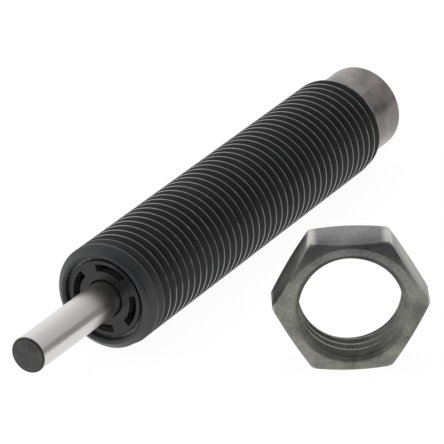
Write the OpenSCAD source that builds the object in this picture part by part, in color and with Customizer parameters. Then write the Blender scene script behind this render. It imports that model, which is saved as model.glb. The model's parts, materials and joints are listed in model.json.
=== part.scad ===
// Small industrial shock absorber: a threaded barrel with a sprung rod, oil
// metering and a rolling diaphragm inside, and a thin lock nut beside it.
// Millimetres. The barrel lies along X and its thread rests on the floor.
// The origin is the middle of the barrel's front face, with the rod towards +X.
// Turned parts are drawn as [radius, depth], where depth counts back from the front face.

/* [Barrel] */
// Major diameter of the mounting thread
thread_d = 14; // [13.8:0.1:15]
// Pitch of the mounting thread
pitch = 1.5; // [1:0.25:1.75]
// Wall between the thread and the retaining ring's groove
mouth_wall = 0.28; // [0.2:0.01:0.5]
// Chamfer inside the mouth
mouth_chamfer = 0.25; // [0.1:0.05:0.3]
// Width of the flat front face round the mouth
face_w = 0.2; // [0.1:0.05:0.35]
// Width of the shoulder between the mouth and the bore
shoulder_w = 0.5; // [0.4:0.05:0.7]
// Diameter of the plain rear end
tail_d = 11.9; // [11.4:0.1:12.8]
// Length of the plain rear end
tail_l = 7.1; // [4:0.1:12]
// Rounded edge of the rear end
tail_round = 0.6; // [0.2:0.1:1.2]
// Thickness of the rear wall
end_wall = 6.2; // [5.5:0.1:9]

/* [Rod] */
// Diameter of the rod
rod_d = 4.7; // [4.4:0.1:5]
// Length of rod that stands out of the front face
rod_reach = 17.4; // [14:0.1:20]
// Chamfer on the rod's tip
rod_chamfer = 0.2; // [0.1:0.05:0.6]
// Travel of the rod
stroke = 12.5; // [8:0.5:16]
// Room left between rod and guide post at full stroke
end_room = 0.4; // [0.2:0.1:1]

/* [Front cap] */
// Depth of the cap's face behind the front face
cap_recess = 0.5; // [0.2:0.1:1]
// Gap between the cap and the mouth, which the retaining ring fills
mouth_gap = 0.5; // [0.25:0.01:0.6]
// Length of the cap in front of its flange
cap_l = 0.9; // [0.6:0.1:1.5]
// Thickness of the cap's flange
flange_l = 1; // [0.6:0.1:1.5]
// Number of vent slots
slots = 4; // [3:1:5]
// Inner diameter of the row of slots
slot_in_d = 7.3; // [6.8:0.1:7.6]
// Width of a slot
slot_w = 0.9; // [0.5:0.05:1.1]
// Length of a slot, in degrees
slot_arc = 57; // [40:1:60]
// Turn of the first slot from straight up, in degrees
slot_turn = 13; // [0:0.5:90]
// Thickness of the retaining ring
ring_l = 0.4; // [0.3:0.05:0.5]
// Depth of the retaining ring's groove in the mouth
ring_grip = 0.2; // [0.1:0.05:0.25]
// Opening of the retaining ring, in degrees
ring_open = 28; // [15:1:60]
// Turn of the retaining ring's opening from straight up, in degrees
ring_turn = 60; // [0:5:355]
// How far the inner stack stands proud of the mouth's shoulder
nip = 0.2; // [0.1:0.05:0.4]

/* [Diaphragm] */
// Wall of the diaphragm
skin = 0.3; // [0.2:0.05:0.4]
// Space between the front cap and the diaphragm's fold
fold_room = 0.7; // [0.4:0.1:1.5]
// Length of the diaphragm along the rod
inner_leg = 4.4; // [3.5:0.1:6]
// Spare length of the diaphragm along the sleeve at full stroke
spare_leg = 0.6; // [0.3:0.1:1.5]
// Length of the beads at the diaphragm's ends
bead_l = 0.8; // [0.6:0.1:1.2]
// Depth of the groove for the inner bead in the rod
bead_groove = 0.4; // [0.2:0.05:0.6]
// Length of the crimp ring round the diaphragm
crimp_l = 1; // [0.6:0.1:1.6]
// Wall of the crimp ring
crimp_wall = 0.35; // [0.2:0.05:0.6]
// Wall of the clamp sleeve
clamp_wall = 0.37; // [0.3:0.01:0.5]
// Wall of the spacer sleeve
spacer_wall = 0.5; // [0.4:0.05:0.8]
// Space between the inner bead and the bearing at full stroke
bead_room = 0.4; // [0.2:0.1:1]

/* [Bearing and pressure tube] */
// Length of the bearing housing without its spigot
bearing_l = 9; // [8:0.1:11]
// Length of the bush
bush_l = 7.4; // [5:0.1:7.6]
// Wall of the bush
bush_wall = 0.8; // [0.6:0.05:1]
// Length of the bearing's spigot in the pressure tube
spigot_l = 1.2; // [0.8:0.1:2]
// Number of oil grooves along the bearing
oil_grooves = 3; // [2:1:5]
// Width of an oil groove along the bearing
oil_groove_w = 1.6; // [1:0.1:2]
// Depth of an oil groove along the bearing
oil_groove_h = 0.6; // [0.4:0.05:0.8]
// Oil space between the bore and the pressure tube
jacket = 0.7; // [0.5:0.05:0.9]
// Wall of the pressure tube
tube_wall = 0.65; // [0.5:0.05:0.75]
// Number of metering holes
metering_holes = 6; // [3:1:8]
// Diameter of a metering hole
metering_d = 0.5; // [0.3:0.05:0.7]
// Diameter of a return port at the tube's front
port_d = 0.8; // [0.5:0.05:0.9]
// Length of the base's plug in the pressure tube
plug_l = 1.7; // [1.4:0.1:3]
// Thickness of the base's flange
base_l = 1.8; // [1.2:0.1:3]
// Gap between the guide post and the piston nut's circle
post_gap = 0.2; // [0.1:0.05:0.4]
// Diameter of the oil hole through the base
base_hole_d = 1.2; // [0.8:0.1:1.6]
// Width of the groove for the base's seal
seal_w = 0.8; // [0.6:0.05:1]
// Depth of the groove for the base's seal
seal_h = 0.55; // [0.4:0.05:0.7]

/* [Piston and spring] */
// Length of the piston's nose
nose_l = 1; // [0.9:0.1:1.6]
// Gap between the piston's nose and the pressure tube
nose_gap = 0.65; // [0.4:0.05:0.75]
// Length of the piston behind its nose
piston_l = 3; // [2.4:0.1:4]
// Width of the piston ring
piston_ring_w = 1; // [0.6:0.1:1.4]
// Depth of the piston ring's groove
piston_ring_h = 0.45; // [0.3:0.05:0.5]
// Number of ports through the piston
piston_ports = 4; // [3:1:6]
// Diameter of a port through the piston
piston_port_d = 0.8; // [0.5:0.05:0.9]
// Thickness of the check ring
check_t = 0.5; // [0.4:0.05:0.8]
// Travel of the check ring
check_float = 0.4; // [0.2:0.05:0.6]
// Wall of the collar inside the check ring
collar_wall = 0.3; // [0.2:0.05:0.35]
// Thickness of the spring seat's flange
seat_l = 0.8; // [0.5:0.1:1.2]
// Gap between the spring seat and the pressure tube
seat_gap = 0.45; // [0.3:0.05:0.5]
// Rim of the spring seat outside the spring
seat_rim = 0.25; // [0.15:0.05:0.35]
// Length of the spring seat's hub
seat_hub_l = 0.6; // [0.3:0.1:1]
// Wall of the spring seat's hub, round the rod's thin end
hub_wall = 0.87; // [0.8:0.01:1.1]
// Number of oil notches in the spring seat
seat_notches = 3; // [2:1:5]
// Width of an oil notch in the spring seat
seat_notch_w = 1; // [0.6:0.1:1.4]
// Thickness of the piston nut
nut_small_t = 1.4; // [1:0.1:2]
// Length of the stem behind the piston nut, and its chamfer
stem_tail = 0.2; // [0.1:0.05:0.4]
// Wire of the return spring
wire_d = 0.6; // [0.4:0.05:0.65]
// Turns of the return spring
turns = 11; // [7:1:13]
// Free length left in the spring at full stroke
spring_room = 1.2; // [0.8:0.1:3]

/* [Fill port] */
// Diameter of the oil hole in the rear wall
fill_d = 1.6; // [1:0.1:1.8]
// Diameter of the fill plug's hole
plug_hole_d = 3.3; // [3:0.1:4]
// Diameter of the sealing ball
ball_d = 2.4; // [2.2:0.1:2.6]
// Depth of the fill plug behind the rear face
plug_recess = 0.8; // [0.4:0.1:1.2]
// Length of the fill plug
fill_plug_l = 2; // [1.6:0.1:2.4]
// Width across the flats of the fill plug's socket
socket_af = 1.5; // [1.2:0.1:1.6]
// Depth of the fill plug's socket
socket_depth = 1.2; // [0.8:0.1:1.4]

/* [Lock nut] */
// Width across the flats of the lock nut
nut_af = 17; // [16.5:0.1:19]
// Thickness of the lock nut
nut_t = 6.3; // [5.5:0.1:8]
// How far the lock nut's chamfer reaches inside its flats
nut_land = 0.35; // [0.05:0.05:0.6]
// Angle of the lock nut's chamfer
nut_chamfer = 30; // [20:1:35]
// Height cut off the crests of the lock nut's thread
nut_crest_cut = 0.2; // [0:0.05:0.3]
// How far the countersinks reach outside the lock nut's thread
nut_sink = 0.2; // [0:0.05:0.5]
// Where the lock nut stands, along X
nut_x = -11.5; // [-30:0.5:0]
// Where the lock nut stands, along Y
nut_y = 28.9; // [20:0.1:50]
// Turn of the lock nut's axis from X, in degrees
nut_turn = 31.4; // [0:0.1:60]

/* [Fits] */
// Radial clearance of pieces that seat in one another
fit = 0.03; // [0.02:0.005:0.05]
// Radial gap round the rod where nothing guides it, and inside the spring
hole_gap = 0.15; // [0.1:0.01:0.2]
// Radial clearance of sliding pieces
run = 0.03; // [0.02:0.005:0.06]
// Clearance of rubber from the rod
soft_gap = 0.07; // [0.05:0.01:0.1]
// Gap at the stops that the spring closes
stop_gap = 0.1; // [0.05:0.01:0.2]

/* [Hidden] */
$fn = 96;
// Overshoot of the shapes that cut
over = 1;

// Thread form: 60 degree flanks, crest of an eighth of the pitch
thread_r = thread_d / 2;
thread_h = 0.61343 * pitch;
crest = pitch / 8;
flank = thread_h * tan(30);
nut_bore_r = thread_r - 0.54127 * pitch + nut_crest_cut;

// Radii of the barrel and the cap, from the thread inwards
mouth_r = thread_r - thread_h - mouth_wall - ring_grip;
face_r = mouth_r + mouth_chamfer + face_w;
cap_r = mouth_r - mouth_gap;
bore_r = mouth_r - shoulder_w;
stack_r = bore_r - fit;

// Radii round the spring, from the pressure tube inwards
tube_r = bore_r - jacket - tube_wall;
nose_r = tube_r - nose_gap;
seat_r = tube_r - seat_gap;
spring_r = seat_r - seat_rim;
hub_r = spring_r - wire_d - hole_gap;
post_r = hub_r - post_gap;
stem_r = hub_r - hub_wall - fit;
collar_r = stem_r + fit + collar_wall;

// Radii round the rod
rod_r = rod_d / 2;
clamp_r = stack_r - clamp_wall;
skin_out_r = clamp_r - fit;
skin_in_r = rod_r + soft_gap;
fold_r = (skin_out_r - skin_in_r) / 2;
fold_mid_r = (skin_out_r + skin_in_r) / 2;
bush_in_r = rod_r + run;
bush_out_r = bush_in_r + bush_wall;
rod_hole_r = rod_r + hole_gap;
groove_r = rod_r - bead_groove;

// Depths, from the front face to the rear end
flange_depth = cap_recess + cap_l;
stack_depth = flange_depth + flange_l;
shoulder_depth = stack_depth + nip;
fold_depth = stack_depth + fold_room + fold_r;
outer_bead_depth = fold_depth + stroke / 2 + spare_leg;
inner_bead_depth = fold_depth + inner_leg;
bearing_depth = inner_bead_depth + bead_l + stroke + bead_room;
tube_depth = bearing_depth + bearing_l;
piston_depth = tube_depth + spigot_l + stop_gap;
valve_depth = piston_depth + nose_l + piston_l;
seat_depth = valve_depth + check_t + check_float + 2 * fit;
spring_depth = seat_depth + seat_l;
small_nut_depth = spring_depth + seat_hub_l;
rod_end_depth = small_nut_depth + nut_small_t + stem_tail;
post_depth = rod_end_depth + stroke + end_room;
plug_depth = spring_depth + stroke + turns * wire_d + spring_room;
base_depth = plug_depth + plug_l;
floor_depth = base_depth + base_l;
barrel_l = floor_depth + end_wall;
fill_plug_depth = barrel_l - plug_recess - fill_plug_l;
ball_depth = fill_plug_depth - ball_d / 2 - fit;
// The ball touches the 45 degree cone that the oil hole ends in
cone_depth = ball_depth - ball_d / sqrt(2) + fill_d / 2 - fit;
thread_start = thread_r - face_r;
runout = thread_r - tail_d / 2;
thread_end = barrel_l - tail_l - runout;
threads = floor((thread_end - thread_start - crest) / pitch);

// Radius of a hexagon's corners from its width across the flats
function corner_r(af) = af / sqrt(3);

// Spins a drawing of [radius, depth] round the barrel's axis
module turned(arc = 360) rotate([0, -90, 0]) rotate_extrude(angle = arc) children();

// A band between two radii and two depths
module band(r0, r1, d0, d1) translate([r0, d0]) square([r1 - r0, d1 - d0]);

// A sleeve of the inner stack
module sleeve(r0, r1, d0, d1) turned() band(r0, r1, d0, d1);

// Straight holes through or along the parts, drilled from the front
module axial_hole(r, d0, d1) rotate([0, -90, 0]) translate([0, 0, d0]) cylinder(r = r, h = d1 - d0);

module threaded_body() {
    groove = [for (i = [0 : threads - 1]) let (d = thread_end - (threads - i) * pitch) each [
        [thread_r, d], [thread_r - thread_h, d + flank],
        [thread_r - thread_h, d + pitch - crest - flank], [thread_r, d + pitch - crest]]];
    tail_edge = [for (a = [0 : 15 : 90])
        [tail_d / 2 - tail_round * (1 - cos(a)), barrel_l - tail_round * (1 - sin(a))]];
    ring_r = mouth_r + ring_grip;
    color("#29292b") turned() polygon(concat(
        [[mouth_r + mouth_chamfer, 0], [face_r, 0], [thread_r, thread_start]],
        groove,
        [[thread_r, thread_end], [tail_d / 2, thread_end + runout]],
        tail_edge,
        [[plug_hole_d / 2, barrel_l], [plug_hole_d / 2, cone_depth + (plug_hole_d - fill_d) / 2],
            [fill_d / 2, cone_depth], [fill_d / 2, floor_depth], [bore_r, floor_depth], [bore_r, shoulder_depth],
            [mouth_r, shoulder_depth], [mouth_r, flange_depth], [ring_r, flange_depth],
            [ring_r, flange_depth - ring_l - fit], [mouth_r, flange_depth - ring_l - fit],
            [mouth_r, mouth_chamfer]]));
}

module front_cap() {
    slot_r = slot_in_d / 2;
    color("#3c3d41") difference() {
        turned() {
            band(rod_hole_r, cap_r, cap_recess, stack_depth);
            band(rod_hole_r, mouth_r - fit, flange_depth, stack_depth);
        }
        for (i = [0 : slots - 1])
            rotate([-i * 360 / slots - slot_turn + slot_arc / 2, 0, 0])
                turned(slot_arc) band(slot_r, slot_r + slot_w, 0, stack_depth + over);
    }
}

module retaining_ring() {
    color("#1b1b1d") rotate([-ring_turn, 0, 0]) turned(360 - ring_open)
        band(cap_r + fit, mouth_r + ring_grip - fit, flange_depth - ring_l, flange_depth);
}

module clamp_sleeve() {
    color("#b9a46a") sleeve(clamp_r, stack_r, stack_depth, outer_bead_depth);
}

module rolling_diaphragm() {
    color("#2b2b2b") turned() {
        // the fold, open towards the oil
        difference() {
            translate([fold_mid_r, fold_depth]) circle(r = fold_r);
            translate([fold_mid_r, fold_depth]) circle(r = fold_r - skin);
            band(skin_in_r - over, skin_out_r + over, fold_depth, fold_depth + 2 * fold_r);
        }
        band(skin_out_r - skin, skin_out_r, fold_depth, outer_bead_depth);
        band(skin_out_r - skin, stack_r, outer_bead_depth, outer_bead_depth + bead_l);
        band(skin_in_r, skin_in_r + skin, fold_depth, inner_bead_depth);
        band(groove_r + soft_gap, skin_in_r + skin, inner_bead_depth, inner_bead_depth + bead_l);
    }
}

module spacer_sleeve() {
    color("#a9adb2") sleeve(stack_r - spacer_wall, stack_r, outer_bead_depth + bead_l, bearing_depth);
}

module main_bearing() {
    color("#a9adb2") difference() {
        turned() {
            band(rod_hole_r, stack_r, bearing_depth, tube_depth);
            band(rod_hole_r, tube_r - fit, bearing_depth, tube_depth + spigot_l);
        }
        axial_hole(bush_out_r + fit / 2, bearing_depth - over, bearing_depth + bush_l);
        for (i = [0 : oil_grooves - 1])
            rotate([i * 360 / oil_grooves, 0, 0])
                translate([-tube_depth - over, -oil_groove_w / 2, stack_r - oil_groove_h])
                    cube([bearing_l + 2 * over, oil_groove_w, oil_groove_h + over]);
    }
}

module bearing_bush() {
    color("#b08443") sleeve(bush_in_r, bush_out_r, bearing_depth, bearing_depth + bush_l);
}

// Metering holes close up towards the end of the stroke, which evens out the force
module pressure_tube() {
    color("#8e9196") difference() {
        sleeve(tube_r, tube_r + tube_wall, tube_depth, base_depth);
        for (i = [1 : metering_holes - 1])
            translate([-valve_depth - stroke * (1 - pow(1 - i / metering_holes, 2)), 0, 0])
                cylinder(r = metering_d / 2, h = 2 * tube_r);
        translate([-piston_depth - nose_l / 2, 0, 0]) rotate([90, 0, 0])
            cylinder(r = port_d / 2, h = 4 * tube_r, center = true);
    }
}

module tube_base() {
    seal_depth = plug_depth + (plug_l - seal_w) / 2;
    color("#8e9196") turned() difference() {
        union() {
            band(base_hole_d / 2, stack_r, base_depth, floor_depth);
            band(base_hole_d / 2, tube_r - fit, plug_depth, floor_depth);
            band(base_hole_d / 2, post_r, post_depth, floor_depth);
        }
        band(tube_r - fit - seal_h, tube_r, seal_depth, seal_depth + seal_w);
    }
}

module base_o_ring() {
    color("#202020") turned() translate([tube_r - (fit + seal_h) / 2, plug_depth + plug_l / 2])
        circle(r = seal_h / 2);
}

// Coil with closed ends: depth along the axis after a number of turns
function coil_depth(t, l, dead) = t < 1 ? t * dead : t > turns - 1 ? l - (turns - t) * dead
    : dead + (t - 1) * (l - 2 * dead) / (turns - 2);

module return_spring() {
    steps = 18;
    sides = 8;
    closed_pitch = 1.1;
    wire_r = wire_d / 2;
    coil_r = spring_r - wire_r;
    front = spring_depth + wire_r + fit;
    l = plug_depth - wire_r - fit - front;
    dead = wire_d * closed_pitch;
    rings = turns * steps;
    points = [for (i = [0 : rings], j = [0 : sides - 1]) let (
        a = i * 360 / steps, b = j * 360 / sides, r = coil_r + wire_r * cos(b))
        [-front - coil_depth(i / steps, l, dead) - wire_r * sin(b), r * sin(a), r * cos(a)]];
    walls = [for (i = [0 : rings - 1], j = [0 : sides - 1]) let (
        p = i * sides + j, q = i * sides + (j + 1) % sides) each [[p, q, q + sides], [p, q + sides, p + sides]]];
    ends = [[for (j = [sides - 1 : -1 : 0]) j], [for (j = [0 : sides - 1]) rings * sides + j]];
    color("#c9ccd0") polyhedron(points, concat(walls, ends));
}

module fill_ball() {
    color("#d5d8dc") translate([-ball_depth, 0, 0]) sphere(r = ball_d / 2);
}

module fill_plug() {
    color("#4a4a4d") difference() {
        sleeve(0, plug_hole_d / 2 - fit, fill_plug_depth, barrel_l - plug_recess);
        rotate([0, -90, 0]) translate([0, 0, barrel_l - plug_recess - socket_depth])
            cylinder(r = corner_r(socket_af), h = socket_depth + over, $fn = 6);
    }
}

module piston_rod() {
    color("#c8c8c8") turned() polygon([
        [0, -rod_reach], [rod_r - rod_chamfer, -rod_reach], [rod_r, -rod_reach + rod_chamfer],
        [rod_r, inner_bead_depth - soft_gap], [groove_r, inner_bead_depth - soft_gap],
        [groove_r, inner_bead_depth + bead_l + soft_gap], [rod_r, inner_bead_depth + bead_l + soft_gap],
        [rod_r, piston_depth], [stem_r, piston_depth],
        [stem_r, rod_end_depth - stem_tail], [stem_r - stem_tail, rod_end_depth], [0, rod_end_depth]]);
}

module diaphragm_ring() {
    r = skin_in_r + skin + fit;
    color("#c0c2c6") sleeve(r, r + crimp_wall, inner_bead_depth - crimp_l, inner_bead_depth);
}

module piston_head() {
    head_depth = piston_depth + nose_l;
    ring_depth = head_depth + (piston_l - piston_ring_w) / 2 - fit;
    piston_r = tube_r - run - fit;
    port_r = (collar_r + run + seat_r) / 2;
    color("#9a8f7c") difference() {
        turned() difference() {
            union() {
                band(stem_r + fit, nose_r, piston_depth, valve_depth);
                band(stem_r + fit, piston_r, head_depth, valve_depth);
            }
            band(piston_r - piston_ring_h, tube_r, ring_depth, ring_depth + piston_ring_w + 2 * fit);
        }
        for (i = [0 : piston_ports - 1])
            rotate([i * 360 / piston_ports, 0, 0]) translate([0, 0, port_r])
                axial_hole(piston_port_d / 2, piston_depth - over, valve_depth + over);
    }
}

module piston_ring() {
    ring_depth = piston_depth + nose_l + (piston_l - piston_ring_w) / 2;
    inner_r = tube_r - run - piston_ring_h;
    color("#5a4a36") sleeve(inner_r, tube_r - run, ring_depth, ring_depth + piston_ring_w);
}

module check_ring() {
    color("#d0b060") sleeve(collar_r + run, seat_r, valve_depth + fit, valve_depth + fit + check_t);
}

module spring_seat() {
    color("#b5b8bd") difference() {
        turned() {
            band(stem_r + fit, collar_r, valve_depth, small_nut_depth);
            band(stem_r + fit, seat_r, seat_depth, spring_depth);
            band(stem_r + fit, hub_r, seat_depth, small_nut_depth);
        }
        for (i = [0 : seat_notches - 1])
            rotate([i * 360 / seat_notches, 0, 0])
                translate([-spring_depth - over, -seat_notch_w / 2, hub_r + hole_gap])
                    cube([seat_l + 2 * over, seat_notch_w, seat_r]);
    }
}

module piston_nut() {
    color("#b5b8bd") rotate([0, -90, 0]) translate([0, 0, small_nut_depth]) difference() {
        cylinder(r = hub_r, h = nut_small_t, $fn = 6);
        translate([0, 0, -over]) cylinder(r = stem_r + fit, h = nut_small_t + 2 * over);
    }
}

// Hexagon with its edges chamfered on both faces, standing on one flat
module lock_nut() {
    nut_r = corner_r(nut_af);
    land_r = nut_af / 2 - nut_land;
    rise = (nut_r + over - land_r) * tan(nut_chamfer);
    half = nut_t / 2;
    sink = thread_r + nut_sink - nut_bore_r;
    color("#5c5c5b") translate([nut_x, nut_y, nut_af / 2 - thread_r]) rotate([0, 90, nut_turn])
        intersection() {
            rotate([0, 0, 30]) cylinder(r = nut_r, h = nut_t, center = true, $fn = 6);
            rotate_extrude() polygon([
                [nut_bore_r, sink - half], [nut_bore_r + sink, -half], [land_r, -half],
                [nut_r + over, rise - half], [nut_r + over, half - rise],
                [land_r, half], [nut_bore_r + sink, half], [nut_bore_r, half - sink]]);
        }
}

threaded_body();
front_cap();
retaining_ring();
clamp_sleeve();
rolling_diaphragm();
spacer_sleeve();
main_bearing();
bearing_bush();
pressure_tube();
tube_base();
base_o_ring();
return_spring();
fill_ball();
fill_plug();
piston_rod();
diaphragm_ring();
piston_head();
piston_ring();
spring_seat();
piston_nut();
check_ring();
lock_nut();
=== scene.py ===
import json
import math

import bmesh
import bpy
import numpy as np
from mathutils import Matrix, Vector


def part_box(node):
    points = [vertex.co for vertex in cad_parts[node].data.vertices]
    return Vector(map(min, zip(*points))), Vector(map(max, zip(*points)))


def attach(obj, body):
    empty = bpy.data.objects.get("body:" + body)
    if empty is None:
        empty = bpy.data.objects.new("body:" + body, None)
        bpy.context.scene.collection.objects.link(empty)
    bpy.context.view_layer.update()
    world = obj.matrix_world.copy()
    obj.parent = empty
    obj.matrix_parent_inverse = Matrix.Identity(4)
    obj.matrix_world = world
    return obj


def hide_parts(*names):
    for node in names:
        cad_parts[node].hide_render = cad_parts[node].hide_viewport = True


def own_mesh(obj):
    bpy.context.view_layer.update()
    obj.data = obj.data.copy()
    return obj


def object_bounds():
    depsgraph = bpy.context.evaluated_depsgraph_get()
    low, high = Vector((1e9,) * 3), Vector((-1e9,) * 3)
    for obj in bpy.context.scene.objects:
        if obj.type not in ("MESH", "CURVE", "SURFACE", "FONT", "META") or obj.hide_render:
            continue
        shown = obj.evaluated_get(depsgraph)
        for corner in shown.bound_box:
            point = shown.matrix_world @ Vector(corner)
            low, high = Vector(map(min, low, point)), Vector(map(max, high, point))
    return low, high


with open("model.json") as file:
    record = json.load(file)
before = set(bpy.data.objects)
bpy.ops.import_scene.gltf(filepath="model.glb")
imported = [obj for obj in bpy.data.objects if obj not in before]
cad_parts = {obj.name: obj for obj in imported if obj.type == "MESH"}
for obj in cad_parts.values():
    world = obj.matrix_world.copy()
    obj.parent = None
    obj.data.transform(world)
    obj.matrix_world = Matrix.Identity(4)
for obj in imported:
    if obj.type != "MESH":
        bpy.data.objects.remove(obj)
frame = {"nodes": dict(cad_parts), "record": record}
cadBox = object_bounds()    # the solid part's own box, before anything is dressed
nodes = frame["nodes"]
mm = 0.001              # sizes below are in millimetres, and become metres in addMesh and in the materials
print("frame loaded:", len(nodes), "nodes")

viewpoint = {
    "position": (0.39535, 0.25367, 0.22429),    # metres
    "forward": (-0.78125, -0.46624, -0.41506),
    "roll": -1.98,      # degrees, a slight lean of the hand-set camera
    "lens": 338.6,      # a long lens, from half a metre away
    "sensor": 36.0,
    "clip": (0.01, 10),
}


def addCamera():
    data = bpy.data.cameras.new("camera")
    data.lens = viewpoint["lens"]
    data.sensor_width = viewpoint["sensor"]
    data.clip_start, data.clip_end = viewpoint["clip"]
    camera = bpy.data.objects.new("camera", data)
    camera.location = viewpoint["position"]
    aim = Vector(viewpoint["forward"]).to_track_quat("-Z", "Y").to_matrix()
    lean = Matrix.Rotation(math.radians(viewpoint["roll"]), 3, "Z")
    camera.rotation_euler = (aim @ lean).to_euler()
    bpy.context.scene.collection.objects.link(camera)
    bpy.context.scene.camera = camera


addCamera()
bpy.context.scene.view_settings.view_transform = "Standard"
print("camera placed")


# sRGB hex to the linear colour that shaders work in: a straight line for the darkest tones and a power above
def linearColour(code):
    channels = np.array([int(code[i:i + 2], 16) / 255 for i in (1, 3, 5)])
    low = channels / 12.92
    high = ((channels + 0.055) / 1.055) ** 2.4
    return (*np.where(channels <= 0.04045, low, high).tolist(), 1.0)


# Adds a shader node: its settings, then values and links for its inputs, by name or number
def addNode(tree, kind, settings=(), values=(), links=()):
    node = tree.nodes.new("ShaderNode" + kind)
    for name, value in dict(settings).items():
        setattr(node, name, value)
    for name, value in dict(values).items():
        node.inputs[name].default_value = value
    for name, source in dict(links).items():
        tree.links.new(source, node.inputs[name])
    return node


# A material without any nodes yet
def startMaterial(name):
    material = bpy.data.materials.new(name)
    material.use_nodes = True
    tree = material.node_tree
    tree.nodes.clear()
    return material, tree


# The surface shader that ends a material's nodes
def finishMaterial(tree, values, links):
    shader = addNode(tree, "BsdfPrincipled", values=values, links=links)
    addNode(tree, "OutputMaterial", links={"Surface": shader.outputs[0]})


# Marks of the turning tool, spacing millimetres apart: noise that depends only on the place along the
# barrel's axis and the distance from it
def turningMarks(tree, place, spacing):
    flattened = addNode(tree, "Mapping", values={"Scale": (0.0, 1.0, 1.0)}, links={"Vector": place})
    radius = addNode(tree, "VectorMath", {"operation": "LENGTH"}, links={0: flattened.outputs[0]})
    axes = addNode(tree, "SeparateXYZ", links={0: place})
    section = addNode(tree, "CombineXYZ", links={0: axes.outputs[0], 1: radius.outputs["Value"]})
    marks = addNode(tree, "TexNoise", values={"Scale": 1 / (spacing * mm), "Detail": 3.0},
                    links={"Vector": section.outputs[0]})
    return marks.outputs["Fac"]


# Colours of the patches, their size in millimetres and the part of the noise that turns dark to light, the
# share of the tool's streaks, and how far the finish fades to the thread's black behind the front edge
oxideLooks = {
    "oxideFace": {"dark": "#2b2c2e", "light": "#3b3c3e", "patch": 4.0, "range": (0.42, 0.68),
                  "streaks": 0.5, "fade": 1.0, "roughness": 0.4, "IOR": 1.6, "coat": 0.0},
    "oxideThread": {"dark": "#1c1c1d", "light": "#272729", "patch": 4.0, "range": (0.42, 0.68),
                    "streaks": 0.0, "fade": 0.0, "roughness": 0.45, "IOR": 1.45, "coat": 0.0},
    "rubbedCrest": {"dark": "#040405", "light": "#747476", "patch": 1.0, "range": (0.52, 0.8),
                    "streaks": 0.0, "fade": 0.0, "roughness": 0.2, "IOR": 1.35, "coat": 1.0},
}
fadeDepth = (0.9, 2.4)      # millimetres behind the front face


# Black oxide on turned steel, left oily: black with the reflection of an oil film. The smooth front edge
# is a little lighter, streaked by the tool, and fades into the thread's black. The crests have rubbed grey
# in patches
def blackOxideSteel(name):
    look = oxideLooks[name]
    material, tree = startMaterial(name)
    place = addNode(tree, "TexCoord").outputs["Object"]
    patches = addNode(tree, "TexNoise", values={"Scale": 1 / (look["patch"] * mm), "Detail": 4.0,
                                                "Roughness": 0.65}, links={"Vector": place})
    marks = turningMarks(tree, place, 0.12)
    shade = addNode(tree, "Mix", {"data_type": "FLOAT"}, values={0: look["streaks"]},
                    links={2: patches.outputs["Fac"], 3: marks})
    tone = addNode(tree, "MapRange", values={"From Min": look["range"][0], "From Max": look["range"][1]},
                   links={"Value": shade.outputs[0]})
    colour = addNode(tree, "Mix", {"data_type": "RGBA"}, values={
        6: linearColour(look["dark"]), 7: linearColour(look["light"])}, links={0: tone.outputs[0]})
    axes = addNode(tree, "SeparateXYZ", links={0: place})
    inward = addNode(tree, "MapRange", values={"From Min": -fadeDepth[0] * mm, "From Max": -fadeDepth[1] * mm,
                                               "To Max": look["fade"]}, links={"Value": axes.outputs[0]})
    threadColour = linearColour(oxideLooks["oxideThread"]["light"])
    faded = addNode(tree, "Mix", {"data_type": "RGBA"}, values={7: threadColour},
                    links={0: inward.outputs[0], 6: colour.outputs[2]})
    bump = addNode(tree, "Bump", values={"Strength": 0.2, "Distance": 0.006 * mm}, links={"Height": marks})
    finishMaterial(tree, {"IOR": look["IOR"], "Roughness": look["roughness"], "Coat Weight": look["coat"],
                          "Coat Roughness": 0.12},
                   {"Base Color": faded.outputs[2], "Normal": bump.outputs[0]})
    return material


# Fine turned steel with a thin burnished oxide: dark grey metal, tinted brown in places, streaked by the tool
def turnedSteel():
    material, tree = startMaterial("turnedSteel")
    place = addNode(tree, "TexCoord").outputs["Object"]
    tint = addNode(tree, "TexNoise", values={"Scale": 1 / (3 * mm), "Detail": 4.0, "Roughness": 0.6},
                   links={"Vector": place})
    colour = addNode(tree, "ValToRGB", links={"Fac": tint.outputs["Fac"]})
    ramp = colour.color_ramp.elements
    ramp[0].position, ramp[0].color = 0.38, linearColour("#605c5a")
    ramp[1].position, ramp[1].color = 0.62, linearColour("#7f7876")
    marks = turningMarks(tree, place, 0.15)
    rough = addNode(tree, "MapRange", values={"To Min": 0.2, "To Max": 0.36}, links={"Value": marks})
    bump = addNode(tree, "Bump", values={"Strength": 0.3, "Distance": 0.006 * mm}, links={"Height": marks})
    finishMaterial(tree, {"Metallic": 1.0}, {
        "Base Color": colour.outputs["Color"], "Roughness": rough.outputs[0], "Normal": bump.outputs[0]})
    return material


# Hard chromed and ground steel: bright, with fine rings round it that smear what it mirrors along its length
def groundChrome():
    material, tree = startMaterial("groundChrome")
    place = addNode(tree, "TexCoord").outputs["Object"]
    marks = turningMarks(tree, place, 0.1)
    rough = addNode(tree, "MapRange", values={"To Min": 0.25, "To Max": 0.35}, links={"Value": marks})
    bump = addNode(tree, "Bump", values={"Strength": 0.3, "Distance": 0.004 * mm}, links={"Height": marks})
    around = addNode(tree, "Tangent", {"direction_type": "RADIAL", "axis": "X"})
    finishMaterial(tree, {"Base Color": linearColour("#dad8d5"), "Metallic": 1.0, "Anisotropic": 0.4,
                          "Anisotropic Rotation": 0.25}, {
        "Roughness": rough.outputs[0], "Normal": bump.outputs[0], "Tangent": around.outputs[0]})
    return material


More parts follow.
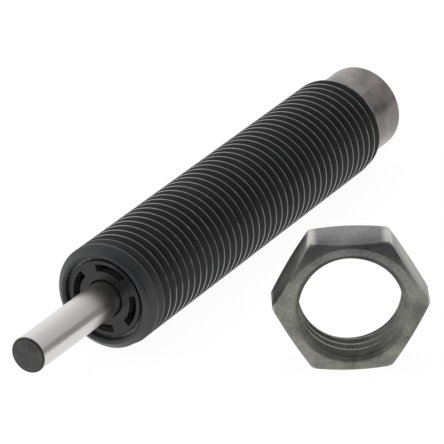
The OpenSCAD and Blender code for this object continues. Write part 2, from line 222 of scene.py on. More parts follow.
# Cut and heat-tinted end of the rod: dull dark grey with blotches
def cutRodEnd():
    material, tree = startMaterial("cutRodEnd")
    place = addNode(tree, "TexCoord").outputs["Object"]
    blotches = addNode(tree, "TexNoise", values={"Scale": 1 / (1.4 * mm), "Detail": 5.0, "Roughness": 0.6},
                       links={"Vector": place})
    rings = turningMarks(tree, place, 0.7)
    both = addNode(tree, "Mix", {"data_type": "FLOAT"}, values={0: 0.55},
                   links={2: blotches.outputs["Fac"], 3: rings})
    colour = addNode(tree, "ValToRGB", links={"Fac": both.outputs[0]})
    ramp = colour.color_ramp.elements
    ramp[0].position, ramp[0].color = 0.38, linearColour("#373637")
    ramp[1].position, ramp[1].color = 0.62, linearColour("#5b5a5a")
    bump = addNode(tree, "Bump", values={"Strength": 0.3, "Distance": 0.01 * mm},
                   links={"Height": blotches.outputs["Fac"]})
    finishMaterial(tree, {"Metallic": 0.4, "Roughness": 0.6}, {
        "Base Color": colour.outputs["Color"], "Normal": bump.outputs[0]})
    return material


slotLightDepth = (0.6, 1.0)      # millimetres behind the front face, where the painted light in the slots starts and is full


# Black acetal, turned: a black plastic with a soft sheen, painted a lighter grey where the slots go deep, as
# painted light
def blackAcetal():
    material, tree = startMaterial("blackAcetal")
    place = addNode(tree, "TexCoord").outputs["Object"]
    specks = addNode(tree, "TexNoise", values={"Scale": 1 / (0.4 * mm), "Detail": 3.0},
                     links={"Vector": place})
    ownColour = addNode(tree, "Mix", {"data_type": "RGBA"},
                    values={6: linearColour("#17171a"), 7: linearColour("#222226")},
                    links={0: specks.outputs["Fac"]})
    axes = addNode(tree, "SeparateXYZ", links={0: place})
    # Painted light: surfaces deep in the slots turn a lighter grey, standing in for light that reaches into
    # them
    deep = addNode(tree, "MapRange", values={"From Min": -slotLightDepth[0] * mm, "From Max": -slotLightDepth[1] * mm},
                   links={"Value": axes.outputs[0]})
    colour = addNode(tree, "Mix", {"data_type": "RGBA"}, values={7: linearColour("#5a5a5c")},
                     links={0: deep.outputs[0], 6: ownColour.outputs[2]})
    bump = addNode(tree, "Bump", values={"Strength": 0.15, "Distance": 0.01 * mm},
                   links={"Height": specks.outputs["Fac"]})
    finishMaterial(tree, {"Roughness": 0.2, "IOR": 1.5}, {
        "Base Color": colour.outputs[2], "Normal": bump.outputs[0]})
    return material


# Phosphated spring steel with grit caught in its groove: pale specks of grit on a grey lifted well above the
# steel's black as painted light in the shaded gap
def gritAndPaintedLightSteel():
    material, tree = startMaterial("gritAndPaintedLightSteel")
    place = addNode(tree, "TexCoord").outputs["Object"]
    grit = addNode(tree, "TexNoise", values={"Scale": 1 / (0.2 * mm), "Detail": 2.0},
                   links={"Vector": place})
    colour = addNode(tree, "ValToRGB", links={"Fac": grit.outputs["Fac"]})
    ramp = colour.color_ramp.elements
    # Painted light: the grey stands in for light on the ring deep in its gap, and the pale specks are grit
    ramp[0].position, ramp[0].color = 0.56, linearColour("#58585a")
    ramp[1].position, ramp[1].color = 0.68, linearColour("#c4c4c2")
    finishMaterial(tree, {"Metallic": 0.4, "Roughness": 0.35}, {"Base Color": colour.outputs["Color"]})
    return material


phosphate = {
    # The tint is painted light: a violet-grey cast laid on the nut's upper side for how light falls on its
    # top
    "tint": "#d2d0e2", "paintedCastHeight": (6.0, 9.5),    # millimetres above the barrel's axis
    "worn": "#c2c1bb", "wornR": (9.35, 9.65),       # millimetres from the nut's axis
}


# How much of the finish is rubbed off: all at the hexagon's corners, which lie furthest from the nut's axis,
# but only in patches
def cornerWear(tree, place, stains):
    turn = math.radians(lockNut["turn"])
    offset = addNode(tree, "VectorMath", {"operation": "SUBTRACT"},
                     values={1: Vector(lockNut["middle"]) * mm}, links={0: place})
    across = addNode(tree, "VectorMath", {"operation": "DOT_PRODUCT"}, values={
        1: (-math.sin(turn), math.cos(turn), 0)}, links={0: offset.outputs[0]})
    height = addNode(tree, "SeparateXYZ", links={0: offset.outputs[0]})
    section = addNode(tree, "CombineXYZ", links={0: across.outputs["Value"], 1: height.outputs[2]})
    radius = addNode(tree, "VectorMath", {"operation": "LENGTH"}, links={0: section.outputs[0]})
    corner = addNode(tree, "MapRange", values={"From Min": phosphate["wornR"][0] * mm,
                                               "From Max": phosphate["wornR"][1] * mm},
                     links={"Value": radius.outputs["Value"]})
    patchy = addNode(tree, "MapRange", values={"From Min": 0.3, "From Max": 0.5}, links={"Value": stains})
    worn = addNode(tree, "Math", {"operation": "MULTIPLY"},
                   links={0: corner.outputs[0], 1: patchy.outputs[0]})
    return worn.outputs[0]


# Dark manganese phosphate on a machined steel nut: satin, mottled, finely speckled by its crystals, greenish,
# with a violet-grey cast painted along the upper side as painted light from above, and worn pale in patches
# on the corners
def phosphatedSteel():
    material, tree = startMaterial("phosphatedSteel")
    place = addNode(tree, "TexCoord").outputs["Object"]
    stains = addNode(tree, "TexNoise", values={"Scale": 1 / (4 * mm), "Detail": 5.0, "Roughness": 0.6},
                     links={"Vector": place})
    crystals = addNode(tree, "TexNoise", values={"Scale": 1 / (0.35 * mm), "Detail": 3.0},
                       links={"Vector": place})
    both = addNode(tree, "Mix", {"data_type": "FLOAT"}, values={0: 0.28},
                   links={2: stains.outputs["Fac"], 3: crystals.outputs["Fac"]})
    colour = addNode(tree, "ValToRGB", links={"Fac": both.outputs[0]})
    ramp = colour.color_ramp.elements
    ramp[0].position, ramp[0].color = 0.36, linearColour("#656561")
    ramp[1].position, ramp[1].color = 0.64, linearColour("#94948c")
    axes = addNode(tree, "SeparateXYZ", links={0: place})
    # Painted light: the upper side is multiplied by the violet-grey tint, the cast that light gives the top
    # flat
    upper = addNode(tree, "MapRange", values={
        "From Min": phosphate["paintedCastHeight"][0] * mm, "From Max": phosphate["paintedCastHeight"][1] * mm,
        "To Max": 0.8}, links={"Value": axes.outputs[2]})
    paintedTopCast = addNode(tree, "Mix", {"data_type": "RGBA", "blend_type": "MULTIPLY"},
                     values={7: linearColour(phosphate["tint"])},
                     links={0: upper.outputs[0], 6: colour.outputs["Color"]})
    rubbed = addNode(tree, "Mix", {"data_type": "RGBA"}, values={7: linearColour(phosphate["worn"])},
                     links={0: cornerWear(tree, place, stains.outputs["Fac"]), 6: paintedTopCast.outputs[2]})
    rough = addNode(tree, "MapRange", values={"To Min": 0.24, "To Max": 0.4},
                    links={"Value": stains.outputs["Fac"]})
    bump = addNode(tree, "Bump", values={"Strength": 0.4, "Distance": 0.02 * mm},
                   links={"Height": crystals.outputs["Fac"]})
    finishMaterial(tree, {"Metallic": 0.8}, {
        "Base Color": rubbed.outputs[2], "Roughness": rough.outputs[0], "Normal": bump.outputs[0]})
    return material


# Points on an arc at each corner of an outline, all corners at once: the arc's centre lies on the corner's
# bisector, and its points turn evenly from the one side's tangent point to the other's
def roundCorners(corners, before, after, radius, steps):
    one = before - corners
    two = after - corners
    one /= np.linalg.norm(one, axis=1)[:, None]
    two /= np.linalg.norm(two, axis=1)[:, None]
    half = np.arccos(np.clip((one * two).sum(1), -1, 1)) / 2
    bisector = (one + two) / np.linalg.norm(one + two, axis=1)[:, None]
    centre = corners + bisector * (radius / np.sin(half))[:, None]
    start = corners + one * (radius / np.tan(half))[:, None] - centre
    end = corners + two * (radius / np.tan(half))[:, None] - centre
    sweep = (math.pi - 2 * half)[:, None]
    share = np.linspace(0, 1, steps)[None, :]
    fromStart = (np.sin((1 - share) * sweep) / np.sin(sweep))[:, :, None]
    fromEnd = (np.sin(share * sweep) / np.sin(sweep))[:, :, None]
    points = centre[:, None, :] + fromStart * start[:, None, :] + fromEnd * end[:, None, :]
    return points.reshape(-1, 2)


# Rows of [depth, radius, angle] turned round the barrel's axis: depth counts back from the front face
def turnedPoints(depth, radius, angle):
    return np.stack(np.broadcast_arrays(-depth, radius * np.cos(angle), radius * np.sin(angle)), -1)


# Four-cornered faces between neighbouring rows of a grid whose columns close round the axis. Each row's
# last column meets the first column of the row that lies shift rows further on
def ringFaces(rows, columns, shift=0):
    row, column = np.meshgrid(np.arange(rows - 1), np.arange(columns), indexing="ij")
    last = column == columns - 1
    nextColumn = np.where(last, 0, column + 1)
    rowHere = np.where(last, row + shift, row)
    inside = rowHere + 1 < rows
    faces = np.stack([row * columns + column, (row + 1) * columns + column,
                      (rowHere + 1) * columns + nextColumn, rowHere * columns + nextColumn], -1)
    return faces[inside]


# Several grids of points and faces as one: each grid's faces count on from the points before it
def joinGrids(grids):
    points = [grid[0].reshape(-1, 3) for grid in grids]
    starts = np.cumsum([0] + [len(p) for p in points])
    faces = [grid[1] + start for grid, start in zip(grids, starts)]
    return np.concatenate(points), np.concatenate(faces)


# A mesh from points in millimetres. Points closer than weld, in metres, are merged, which closes seams and
# poles, and edges that turn by more than creaseAngle, in degrees, stay sharp
def addMesh(name, grids, creaseAngle, weld=1e-7):
    points, faces = joinGrids(grids)
    mesh = bpy.data.meshes.new(name)
    mesh.from_pydata((points * mm).tolist(), [], faces.tolist())
    piece = bpy.data.objects.new(name, mesh)
    bpy.context.scene.collection.objects.link(piece)
    work = bmesh.new()
    work.from_mesh(mesh)
    bmesh.ops.remove_doubles(work, verts=work.verts, dist=weld)
    bmesh.ops.dissolve_degenerate(work, edges=work.edges, dist=weld)
    bmesh.ops.recalc_face_normals(work, faces=work.faces)
    work.to_mesh(mesh)
    work.free()
    mesh.shade_smooth()
    mesh.set_sharp_from_angle(angle=math.radians(creaseAngle))
    return piece


# Depth behind the front face and distance from the axis of each face's middle, in millimetres
def faceCentres(piece):
    centre = np.empty(len(piece.data.polygons) * 3, np.float32)
    piece.data.polygons.foreach_get("center", centre)
    x, y, z = centre.reshape(-1, 3).T / mm
    return -x, np.hypot(y, z)


# Gives a piece its materials and the body that it rides on, and hides the solid that it replaces; the solid's
# slot is not used
def dress(piece, body, node, slot, *materials):
    for material in materials:
        piece.data.materials.append(material)
    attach(piece, body)
    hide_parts(node)


# An outline of [depth, radius, rounding] corners turned round the axis
def turnOutline(outline, angle, steps=6):
    outline = np.array(outline, float)
    corners = outline[:, :2]
    points = roundCorners(corners, np.roll(corners, 1, 0), np.roll(corners, -1, 0), outline[:, 2], steps)
    grid = turnedPoints(points[:, 0, None], points[:, 1, None], angle[None, :])
    return grid, ringFaces(len(points), len(angle))


flankAngle = math.radians(30)       # of a metric thread


# One pitch of a thread: crest, flank, root and flank as [depth, radius], with the crest's middle at depth 0
# and each corner rounded. The root's rounding may be as large as its flat allows
def pitchProfile(pitch, crest, crestR, rootR, crestRound, rootRound, steps=3):
    flank = abs(crestR - rootR) * math.tan(flankAngle)
    corners = np.array([[-crest / 2, crestR], [crest / 2, crestR],
                        [crest / 2 + flank, rootR], [pitch - crest / 2 - flank, rootR]])
    onePitch = np.array([[pitch, 0.0]])
    before = np.concatenate([corners[-1:] - onePitch, corners[:-1]])
    after = np.concatenate([corners[1:], corners[:1] + onePitch])
    rounds = np.array([crestRound, crestRound, rootRound, rootRound])
    return roundCorners(corners, before, after, rounds, steps)


# Rows of a helix: the profile of one pitch is repeated from first to last, with two pitches to spare at both
# ends, and depth = the row's own depth + pitch * turn
def helixRows(profile, pitch, first, last, turn):
    starts = np.arange(math.floor(first / pitch) - 2, math.ceil(last / pitch) + 2) * pitch
    depth = (starts[:, None] + profile[None, :, 0]).ravel()
    radius = np.tile(profile[:, 1], len(starts))
    depth = depth[:, None] + pitch * turn[None, :]
    return depth, np.broadcast_to(radius[:, None], depth.shape)


# Radii and depths behind the front face. The rear end's depths are counted from the barrel's length
barrelLength = -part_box("threaded_body")[0][0] / mm
threadedBody = {
    "columns": 144,
    "threadR": 6.99, "pitch": 1.5, "threadDepth": 0.920145, "crest": 0.26, "crestRound": 0.04,
    "crestDepth": 0.34,     # depth of a crest's middle on the side that faces +Y, within one pitch
    "threadEnd": barrelLength - 8.15,
    "faceR": 6.05, "faceEdge": 0.1, "faceRound": 0.12, "mouthR": 5.6, "mouthChamfer": 0.25,
    "grooveR": 5.8, "grooveFront": 0.97, "grooveBack": 1.4,     # the retaining ring's
    "shoulder": 2.6, "boreR": 5.1, "floor": barrelLength - 6.2,
    "fillR": 0.8, "plugR": 1.65, "plugCone": barrelLength - 4.957,
    "tailR": 5.95, "tailRound": 0.6, "length": barrelLength, "edge": 0.05,
    "rubDepth": 0.05, "rubStart": 3.5,      # crests are rubbed this far down, and from this depth on
    "tailGap": 0.5,         # from the thread's end to the plain turned steel
}


# The outside is a right-hand thread. Cones at both ends cut it off: radius = the smallest of the thread's
# profile, the front cone and the rear cone. Face, mouth, bore and tail are an outline turned round the axis
def makeThreadedBody(s):
    turn = np.arange(s["columns"]) / s["columns"]
    angle = -2 * math.pi * turn
    flank = s["threadDepth"] * math.tan(flankAngle)
    rootRound = (s["pitch"] - s["crest"] - 2 * flank) / 2 / math.tan(flankAngle)
    profile = pitchProfile(s["pitch"], s["crest"], s["threadR"], s["threadR"] - s["threadDepth"],
                           s["crestRound"], rootRound)
    profile[:, 0] += s["crestDepth"]
    runOut = s["threadR"] - s["tailR"]
    last = s["threadEnd"] + runOut
    depth, radius = helixRows(profile, s["pitch"], 0, last, turn)
    depth = np.clip(depth, s["faceEdge"], last)
    radius = np.minimum(radius, np.minimum(s["faceR"] + depth, s["tailR"] + last - depth))
    helix = turnedPoints(depth, radius, angle[None, :]), ringFaces(*depth.shape, len(profile))
    outline = [
        [s["faceEdge"], s["faceR"] + s["faceEdge"], 0],
        [0, s["faceR"], s["faceRound"]],
        [0, s["mouthR"] + s["mouthChamfer"], s["edge"]],
        [s["mouthChamfer"], s["mouthR"], s["edge"]],
        [s["grooveFront"], s["mouthR"], 0], [s["grooveFront"], s["grooveR"], 0],
        [s["grooveBack"], s["grooveR"], 0], [s["grooveBack"], s["mouthR"], 0],
        [s["shoulder"], s["mouthR"], 0], [s["shoulder"], s["boreR"], 0],
        [s["floor"], s["boreR"], 0], [s["floor"], s["fillR"], 0],
        [s["plugCone"], s["fillR"], 0], [s["plugCone"] + s["plugR"] - s["fillR"], s["plugR"], 0],
        [s["length"], s["plugR"], s["edge"]],
        [s["length"], s["tailR"], s["tailRound"]],
        [last, s["tailR"], 0],
    ]
    return [helix, turnOutline(outline, angle)]


piece = addMesh("threadedBody", makeThreadedBody(threadedBody), creaseAngle=35)
dress(piece, "barrel", "threaded_body", "blackened_steel", blackOxideSteel("oxideThread"),
      blackOxideSteel("oxideFace"), blackOxideSteel("rubbedCrest"), turnedSteel())
depth, radius = faceCentres(piece)
isFace = (depth < threadedBody["rubStart"]) | (radius < threadedBody["grooveR"])
isCrest = (radius > threadedBody["threadR"] - threadedBody["rubDepth"]) & (depth > threadedBody["rubStart"])
isTail = depth > threadedBody["threadEnd"] + threadedBody["tailGap"]
finish = np.select([isTail, isFace, isCrest], [3, 1, 2], 0)     # in the order of the materials above
piece.data.polygons.foreach_set("material_index", finish.astype(np.int32))
print("barrel threaded:", len(piece.data.polygons), "faces")


# The groove holds the diaphragm's inner bead, and the thin stem carries the piston
rodEnd = -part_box("piston_rod")[0][0] / mm
pistonRod = {
    "columns": 96, "radius": 2.35, "reach": 17.4, "chamfer": 0.2, "edge": 0.06,
    "grooveFront": 8.55, "grooveBack": 9.49, "grooveR": 1.95, "pistonDepth": rodEnd - 7.96,
    "stemR": 1.4, "end": rodEnd, "stemChamfer": 0.2,
}


# One outline from the tip to the thin stem's end, turned round the axis
def makePistonRod(s):
    angle = np.arange(s["columns"]) * 2 * math.pi / s["columns"]
    return [turnOutline([
        [-s["reach"], 0, 0],
        [-s["reach"], s["radius"] - s["chamfer"], s["edge"]],
        [-s["reach"] + s["chamfer"], s["radius"], s["edge"]],
        [s["grooveFront"], s["radius"], 0], [s["grooveFront"], s["grooveR"], 0],
        [s["grooveBack"], s["grooveR"], 0], [s["grooveBack"], s["radius"], 0],
        [s["pistonDepth"], s["radius"], 0], [s["pistonDepth"], s["stemR"], 0],
        [s["end"] - s["stemChamfer"], s["stemR"], 0], [s["end"], s["stemR"] - s["stemChamfer"], 0],
        [s["end"], 0, 0],
    ], angle)]


piece = addMesh("pistonRod", makePistonRod(pistonRod), creaseAngle=35)
dress(piece, "rod", "piston_rod", "polished_steel", groundChrome(), cutRodEnd())
depth = faceCentres(piece)[0]
isEnd = depth < -pistonRod["reach"] + pistonRod["chamfer"] + pistonRod["edge"]
piece.data.polygons.foreach_set("material_index", isEnd.astype(np.int32))
print("rod turned:", len(piece.data.polygons), "faces")


frontCap = {
    "columns": 120,
    "radii": [2.5, 3.65, 4.55, 5.1, 5.57],      # hole, both sides of the slots, face and flange
    "depths": [0.5, 1.4, 2.4],                  # face, front and back of the flange
    "slots": 4, "slotWidth": 57.0, "slotMiddle": -13.0,     # degrees from +Y towards +Z
    "edge": 0.09,
}


# Blocks of a polar grid, some solid and some open: a face lies wherever a solid block meets an open one.
# Open blocks are added inside, outside, in front and behind, and the last and first blocks across the seam
def makeFrontCap(s):
    n = s["columns"]
    radii = np.array(s["radii"])
    depths = np.array(s["depths"])
    angle = np.arange(n) * 2 * math.pi / n
    middle = np.degrees(angle) + 180 / n - s["slotMiddle"]      # each block's own, from the first slot's
    perSlot = 360 / s["slots"]
    inSlot = np.abs((middle + perSlot / 2) % perSlot - perSlot / 2) < s["slotWidth"] / 2
    solid = np.ones((len(radii) - 1, n, len(depths) - 1), bool)
    solid[1, inSlot, :] = False     # the slots go right through
    solid[-1, :, 0] = False         # the flange lies behind the face
    grid = turnedPoints(depths[None, None, :], radii[:, None, None], angle[None, :, None])
    index = np.arange(grid.size // 3).reshape(grid.shape[:3])
    index = np.concatenate([index, index[:, :1]], 1)
    padded = np.pad(solid, ((1, 1), (0, 0), (1, 1)))
    padded = np.concatenate([padded[:, -1:], padded, padded[:, :1]], 1)
    faces = []
    for axis, (one, two) in enumerate([(1, 2), (2, 0), (0, 1)]):
        edge = np.argwhere(np.diff(padded, axis=axis))
        low = edge - np.array([1, 1, 1]) + np.eye(3, dtype=int)[axis]
        stepOne = np.eye(3, dtype=int)[one]
        stepTwo = np.eye(3, dtype=int)[two]
        low = low[(low[:, 1] >= 0) & (low[:, 1] < n)]
        corner = [low, low + stepOne, low + stepOne + stepTwo, low + stepTwo]
        faces.append(np.stack([index[tuple(c.T)] for c in corner], 1))
    return [(grid, np.concatenate(faces))]


# Rounds every edge that turns by more than 40 degrees
def roundEdges(piece, width):
    bevel = piece.modifiers.new("softEdges", "BEVEL")
    bevel.width = width * mm
    bevel.segments = 3
    bevel.limit_method = "ANGLE"
    bevel.angle_limit = math.radians(40)
    bevel.harden_normals = True


piece = addMesh("frontCap", makeFrontCap(frontCap), creaseAngle=35)
roundEdges(piece, frontCap["edge"])
dress(piece, "barrel", "front_cap", "black_acetal", blackAcetal())
print("front cap slotted:", len(piece.data.polygons), "faces")


lockNut = {
    "flats": 17.0, "thickness": 6.3, "cornerRound": 0.6,
    "landR": 8.15, "chamfer": 30.0,             # the face's round land, and degrees outside it
    "edge": 0.12, "landDip": 0.024, "edgeBend": 0.036,      # how the chamfer's two edges are rounded
    "pitch": 1.5, "threadR": 7.0, "boreR": 6.388, "crest": 0.375, "crestRound": 0.05, "rootRound": 0.09,
    "sinkR": 7.2, "sinkEdge": 0.35,             # the countersink, 45 degrees steep
    "sinkLip": [(-0.1, 0.12), (0.1, 0.02), (0.4, 0.0)],     # its rolled rim: out from sinkR, and down
    "middle": (-11.5, 28.9, 1.5), "turn": 31.4,             # place, and degrees from +X to the axis
    "perCorner": 6, "perFlat": 18,              # columns of points
}


halfSide = math.radians(30)         # half of a hexagon's side, seen from its middle


# Distance from the middle to a hexagon's side, with its corners rounded: an arc close to each corner, and
# half the width across the flats / cos(angle from the flat's middle) elsewhere
def hexagonRadius(fromCorner, half, cornerRound):
    centre = (half - cornerRound) / math.cos(halfSide)
    away = np.abs(fromCorner)
    flat = half / np.cos(halfSide - away)
    arc = centre * np.cos(away) + np.sqrt(np.maximum(cornerRound ** 2 - (centre * np.sin(away)) ** 2, 0))
    reach = math.atan2(cornerRound / 2, centre + cornerRound * math.cos(halfSide))
    return np.where(away < reach, arc, flat), reach


# The hole is a thread, and its countersinks cut it off: radius = the larger of the thread's profile and the
# cone. The skin is rings of points round the hexagon, the same on both faces: the countersink's rim, the flat
# land, the chamfer, where drop = distance outside the land * tan(chamfer), and the hexagon's side. Both are
# worked out round the X axis, then turned and moved to the nut's place
def makeLockNut(s):
    half, thick = s["flats"] / 2, s["thickness"] / 2
    reach = hexagonRadius(np.zeros(1), half, s["cornerRound"])[1]
    near = np.linspace(-reach, reach, s["perCorner"])
    far = np.linspace(reach, 2 * halfSide - reach, s["perFlat"] + 2)[1:-1]
    oneSide = np.concatenate([near, far])
    corner = halfSide + np.arange(6)[:, None] * 2 * halfSide
    angle = (corner + oneSide[None, :]).ravel()
    fromCorner = (angle % (2 * halfSide)) - halfSide
    side = hexagonRadius(fromCorner, half, s["cornerRound"])[0]
    turn = angle / (2 * math.pi)

    profile = pitchProfile(s["pitch"], s["crest"], s["boreR"], s["threadR"], s["crestRound"], s["rootRound"])
    height, radius = helixRows(profile, s["pitch"], -thick - s["pitch"], thick + s["pitch"], turn)
    inner = thick - s["sinkEdge"]
    height = np.clip(height, -inner, inner)
    radius = np.maximum(radius, s["sinkR"] - (thick - np.abs(height)))
    thread = height, radius, ringFaces(*height.shape, len(profile))

    slope = math.tan(math.radians(s["chamfer"]))
    land = np.minimum(side, s["landR"])
    drop = np.maximum(side - s["landR"], 0) * slope
    ones = np.ones_like(angle)
    rim = [(ones * (s["sinkR"] + out), ones * (thick - down))
           for out, down in [(-s["sinkEdge"], s["sinkEdge"])] + s["sinkLip"]]
    rim += [(land - s["edge"], ones * thick),
            (land, ones * (thick - s["landDip"])),
            (side - s["edgeBend"], thick - drop - s["edgeBend"]),
            (side, thick - drop - s["edge"])]
    radii = np.stack([out for out, up in rim] + [out for out, up in rim[::-1]])
    heights = np.stack([up for out, up in rim] + [-up for out, up in rim[::-1]])
    skin = heights, radii, ringFaces(*heights.shape)

    turned = math.radians(s["turn"])
    grids = []
    for height, radius, faces in (thread, skin):
        across = radius * np.cos(angle)[None, :]
        sideways = radius * np.sin(angle)[None, :]
        x = height * math.cos(turned) - sideways * math.sin(turned) + s["middle"][0]
        y = height * math.sin(turned) + sideways * math.cos(turned) + s["middle"][1]
        grids.append((np.stack([x, y, s["middle"][2] - across], -1), faces))
    return grids


piece = addMesh("lockNut", makeLockNut(lockNut), creaseAngle=25)
dress(piece, "nut", "lock_nut", "phosphated_steel", phosphatedSteel())
print("lock nut cut:", len(piece.data.polygons), "faces")


# Finishes of the pieces inside, by the solids' slots: colour, metallic and roughness
innerFinish = {
    "spring_steel": ("#505052", 0.8, 0.3), "bronze": ("#a07a45", 1.0, 0.4),
    "black_rubber": ("#29292b", 0.0, 0.6), "aluminium": ("#b4b6ba", 1.0, 0.32),
    "tube_steel": ("#85878b", 1.0, 0.3), "polished_steel": ("#c8c6c2", 1.0, 0.12),
    "ring_polymer": ("#4a3a2a", 0.0, 0.45), "blackened_steel": ("#2a2a2c", 0.9, 0.4),
}


# A plain metal, rubber or plastic with a fine grain, a third of a millimetre wide
def innerMaterial(name, code, metallic, roughness):
    material, tree = startMaterial(name)
    place = addNode(tree, "TexCoord").outputs["Object"]
    grain = addNode(tree, "TexNoise", values={"Scale": 3 / mm, "Detail": 3.0}, links={"Vector": place})
    light = np.array(linearColour(code))
    dark = light * (0.8, 0.8, 0.8, 1)
    colour = addNode(tree, "Mix", {"data_type": "RGBA"}, values={6: dark.tolist(), 7: light.tolist()},
                     links={0: grain.outputs["Fac"]})
    bump = addNode(tree, "Bump", values={"Strength": 0.2, "Distance": 0.01 * mm},
                   links={"Height": grain.outputs["Fac"]})
    finishMaterial(tree, {"Metallic": metallic, "Roughness": roughness}, {
        "Base Color": colour.outputs[2], "Normal": bump.outputs[0]})
    return material


finishes = {slot: innerMaterial(slot, *look) for slot, look in innerFinish.items()}

returnSpring = {
    "wire": 0.6, "turns": 11, "closedPitch": 0.66, "stepsPerTurn": 36, "sides": 12,
    "stroke": 12.5,         # how far the rod presses it together
}
springBox = [np.array(corner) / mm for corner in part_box("return_spring")]


# A round wire along a helix: depth grows by the closed pitch in the first and the last turn, and evenly
# between them. The wire's radius is 0 at both ends, which closes them
def makeReturnSpring(s):
    low, high = springBox
    turn = np.linspace(0, s["turns"], s["turns"] * s["stepsPerTurn"] + 1)
    turn = np.concatenate([turn[:1], turn, turn[-1:]])[:, None]
    wireR = np.full_like(turn, s["wire"] / 2)
    wireR[[0, -1]] = 0
    length = high[0] - low[0] - s["wire"]
    depth = s["wire"] / 2 - high[0] + np.interp(turn, [0, 1, s["turns"] - 1, s["turns"]],
                                               [0, s["closedPitch"], length - s["closedPitch"], length])
    section = np.arange(s["sides"])[None, :] * 2 * math.pi / s["sides"]
    radius = high[2] - s["wire"] / 2 + wireR * np.cos(section)
    grid = turnedPoints(depth + wireR * np.sin(section), radius, math.pi / 2 - 2 * math.pi * turn)
    return [(grid, ringFaces(len(turn), s["sides"]))]


piece = addMesh("returnSpring", makeReturnSpring(returnSpring), creaseAngle=50)
dress(piece, "barrel", "return_spring", "spring_steel", finishes["spring_steel"])
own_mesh(piece)
print("return spring wound:", len(piece.data.polygons), "faces")

# The solids that no piece replaces get the finish of their own slot
slotOf = {part["node"]: part["material_slot"] for part in frame["record"]["subparts"]}
for name, node in nodes.items():
    if node.hide_render:
        continue
    node.data.materials.clear()
    node.data.materials.append(finishes[slotOf[name]])
nodes["retaining_ring"].data.materials[0] = gritAndPaintedLightSteel()
print("inner pieces finished")


studio = {
    "floor": 4.0,           # width in metres
    "paper": "#f4f4f4",
    "paperGlow": 0.965,     # what the camera sees of the floor: this much white of its own,
    "paperShade": 0.06,     # and this much that a shadow takes away
    "tent": 1.05,           # white walls, brightest behind on the left,
    "front": 0.27,          # and the darker opening that the camera looks through
    "opening": (0.6, 0.7, 0.3),     # where it lies,
    "openingFall": (-0.7, 0.8),     # and where the walls start and end to darken towards it
    "fill": 0.85,           # strength of the walls as a light
}
# A strip of painted shade lies on the paper behind the nut, where the paper lies in the nut's shade, and the
# tent darkens where the strip would stand up at its far end. Only reflections show it, and the camera sees
# white paper
shadeBehindNut = {
    "start": (-19.0, 23.0), "heading": 141.5,   # millimetres, and degrees from +X
    "softStart": (-4.0, 6.0), "halfWidth": 10.0, "softSide": 3.0,   # millimetres
    "white": 0.12,          # what is left of the paper's white
    "standing": (-0.78, 0.62, -0.04),           # direction of its far end, seen from the part,
    "spread": 0.955,                            # and cosine of the angle at which it has faded out
}
lamps = {
    "overhead": {"place": (-0.1, -0.1, 0.7), "target": (-0.02, 0.01, 0), "size": 0.6, "power": 1.5},
    "left": {"place": (0.25, -0.6, 0.3), "target": (-0.02, 0.01, 0), "size": 0.5, "power": 1.5},
}


# 1 where a ray comes from the camera, a reflection or glass: for these the paper glows by itself and the
# tent has its full white
def seenRay(tree):
    path = addNode(tree, "LightPath")
    seen = path.outputs["Is Camera Ray"]
    for kind in ("Is Glossy Ray", "Is Transmission Ray"):
        either = addNode(tree, "Math", {"operation": "MAXIMUM"}, links={0: seen, 1: path.outputs[kind]})
        seen = either.outputs[0]
    return path, seen


# 1 on the strip of painted shade, which starts softly, has soft sides and runs on without an end, and 0
# beside it
def paintedPaperShade(tree):
    place = addNode(tree, "TexCoord").outputs["Object"]
    onShadeStrip = addNode(tree, "Mapping", {"vector_type": "TEXTURE"}, values={
        "Location": Vector((*shadeBehindNut["start"], 0)) * mm,
        "Rotation": (0, 0, math.radians(shadeBehindNut["heading"]))}, links={"Vector": place})
    axes = addNode(tree, "SeparateXYZ", links={0: onShadeStrip.outputs[0]})
    along = addNode(tree, "MapRange", values={"From Min": shadeBehindNut["softStart"][0] * mm,
                                              "From Max": shadeBehindNut["softStart"][1] * mm},
                    links={"Value": axes.outputs[0]})
    aside = addNode(tree, "Math", {"operation": "ABSOLUTE"}, links={0: axes.outputs[1]})
    across = addNode(tree, "MapRange", values={
        "From Min": (shadeBehindNut["halfWidth"] + shadeBehindNut["softSide"]) * mm,
        "From Max": (shadeBehindNut["halfWidth"] - shadeBehindNut["softSide"]) * mm}, links={"Value": aside.outputs[0]})
    both = addNode(tree, "Math", {"operation": "MULTIPLY"},
                   links={0: along.outputs[0], 1: across.outputs[0]})
    return both.outputs[0]


# White paper under the part: it glows by itself towards the camera and in reflections, where it also carries
# the strip of painted shade behind the nut, keeps a little of the part's shadow, and is plain paper for all
# other light
def addFloor():
    half = studio["floor"] / 2
    mesh = bpy.data.meshes.new("floor")
    corners = ((-half, -half), (half, -half), (half, half), (-half, half))
    mesh.from_pydata([(x, y, cadBox[0].z) for x, y in corners], [], [(0, 1, 2, 3)])
    floor = bpy.data.objects.new("floor", mesh)
    bpy.context.scene.collection.objects.link(floor)
    material, tree = startMaterial("whitePaper")
    path, seen = seenRay(tree)
    paper = addNode(tree, "BsdfDiffuse", values={"Color": linearColour(studio["paper"])})
    # Painted shade: in reflections the paper's glow drops on the strip behind the nut
    white = addNode(tree, "MapRange", values={"To Min": studio["paperGlow"], "To Max": shadeBehindNut["white"]},
                    links={"Value": paintedPaperShade(tree)})
    inView = addNode(tree, "Math", {"operation": "MULTIPLY"}, values={1: studio["paperGlow"]},
                     links={0: path.outputs["Is Camera Ray"]})
    strength = addNode(tree, "Math", {"operation": "MAXIMUM"},
                       links={0: white.outputs[0], 1: inView.outputs[0]})
    glow = addNode(tree, "Emission", values={"Color": (1, 1, 1, 1)},
                   links={"Strength": strength.outputs[0]})
    shade = addNode(tree, "BsdfDiffuse", values={"Color": (*[studio["paperShade"]] * 3, 1.0)})
    bright = addNode(tree, "AddShader", links={0: glow.outputs[0], 1: shade.outputs[0]})
    mix = addNode(tree, "MixShader", links={0: seen, 1: paper.outputs[0], 2: bright.outputs[0]})
    addNode(tree, "OutputMaterial", links={"Surface": mix.outputs[0]})
    mesh.materials.append(material)
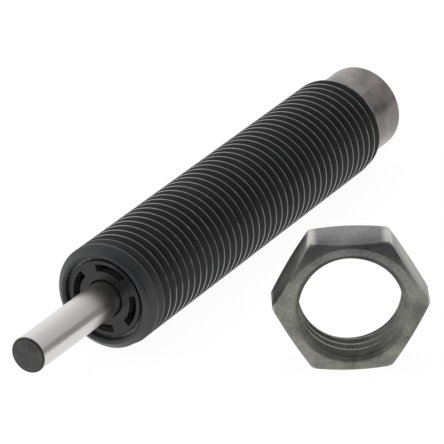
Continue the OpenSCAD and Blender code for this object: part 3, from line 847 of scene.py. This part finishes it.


# A white tent: its brightness falls off smoothly towards its opening in front, and it darkens in a spot
# towards the far end of the painted shade strip
def addTent():
    world = bpy.data.worlds.new("tent")
    bpy.context.scene.world = world
    world.use_nodes = True
    tree = world.node_tree
    tree.nodes.clear()
    path, seen = seenRay(tree)
    direction = addNode(tree, "TexCoord").outputs["Generated"]
    opening = addNode(tree, "VectorMath", {"operation": "DOT_PRODUCT"}, values={1: studio["opening"]},
                      links={0: direction})
    standing = addNode(tree, "VectorMath", {"operation": "DOT_PRODUCT"}, values={1: shadeBehindNut["standing"]},
                       links={0: direction})
    tentShadeSpot = addNode(tree, "MapRange", values={"From Min": shadeBehindNut["spread"], "To Min": 1.0,
                                             "To Max": shadeBehindNut["white"]},
                   links={"Value": standing.outputs["Value"]})
    wall = addNode(tree, "MapRange", values={
        "From Min": studio["openingFall"][0], "From Max": studio["openingFall"][1],
        "To Min": studio["tent"], "To Max": studio["front"]}, links={"Value": opening.outputs["Value"]})
    light = addNode(tree, "MapRange", values={"To Min": studio["fill"], "To Max": 1.0},
                    links={"Value": seen})
    darkened = addNode(tree, "Math", {"operation": "MULTIPLY"},
                      links={0: wall.outputs[0], 1: tentShadeSpot.outputs[0]})
    walls = addNode(tree, "Math", {"operation": "MULTIPLY"},
                    links={0: darkened.outputs[0], 1: light.outputs[0]})
    strength = addNode(tree, "Math", {"operation": "MAXIMUM"},
                       links={0: walls.outputs[0], 1: path.outputs["Is Camera Ray"]})
    background = addNode(tree, "Background", values={"Color": (1, 1, 1, 1)},
                         links={"Strength": strength.outputs[0]})
    addNode(tree, "OutputWorld", links={"Surface": background.outputs[0]})


# A square lamp at its place, in metres, turned to its target
def addLamp(name, s):
    light = bpy.data.lights.new(name, "AREA")
    light.size = s["size"]
    light.energy = s["power"]
    lamp = bpy.data.objects.new(name, light)
    lamp.location = s["place"]
    lamp.visible_glossy = False     # polished steel mirrors the tent alone
    lamp.rotation_euler = (Vector(s["target"]) - Vector(s["place"])).to_track_quat("-Z", "Y").to_euler()
    bpy.context.scene.collection.objects.link(lamp)


addFloor()
addTent()
for name, s in lamps.items():
    addLamp(name, s)
print("floor, tent and lamps placed")
